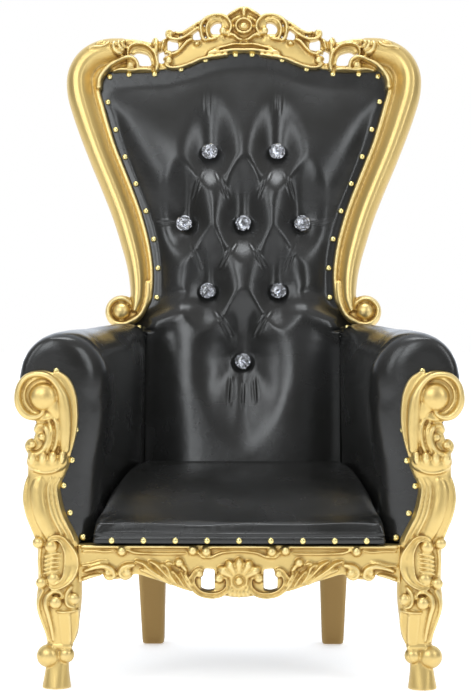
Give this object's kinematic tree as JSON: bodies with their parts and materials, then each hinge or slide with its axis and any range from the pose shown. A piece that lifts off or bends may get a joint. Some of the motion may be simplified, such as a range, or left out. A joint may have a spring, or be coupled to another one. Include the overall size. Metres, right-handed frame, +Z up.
{
  "type": "throne",
  "caption": "Small high-backed throne: carved gold frame with a pierced crest, button-tufted black upholstered back, padded roll arms, a domed seat and cabriole front legs.",
  "frame": {"origin": "on the floor, under the middle of the whole throne's bounding box", "axes": "+Z up, +X to the viewer's right and the sitter's left, front towards -Y"},
  "size_m": [0.6302, 0.5328, 1.024],
  "materials": {
    "gold": "satin gold metallic paint, brushed, darker in the recesses",
    "plain_gold": "duller ochre gold paint",
    "leather": "semi-gloss black imitation leather with a fine grain",
    "crystal": "cut clear crystal",
    "board": "black dust cloth over a board"
  },
  "bodies": {
    "root": {"back_frame": "gold", "front_leg_right": "gold", "front_leg_left": "gold", "front_rail": "gold", "side_rail_right": "gold", "side_rail_left": "gold", "rear_rail": "plain_gold", "rear_leg_right": "plain_gold", "rear_leg_left": "plain_gold", "seat_deck": "board", "inner_back": "leather", "outer_back": "leather", "arm_right": "leather", "arm_left": "leather", "seat_cushion": "leather", "crystal_button_1": "crystal", "crystal_button_2": "crystal", "crystal_button_3": "crystal", "crystal_button_4": "crystal", "crystal_button_5": "crystal", "crystal_button_6": "crystal", "crystal_button_7": "crystal", "crystal_button_8": "crystal"}
  },
  "joints": []
}
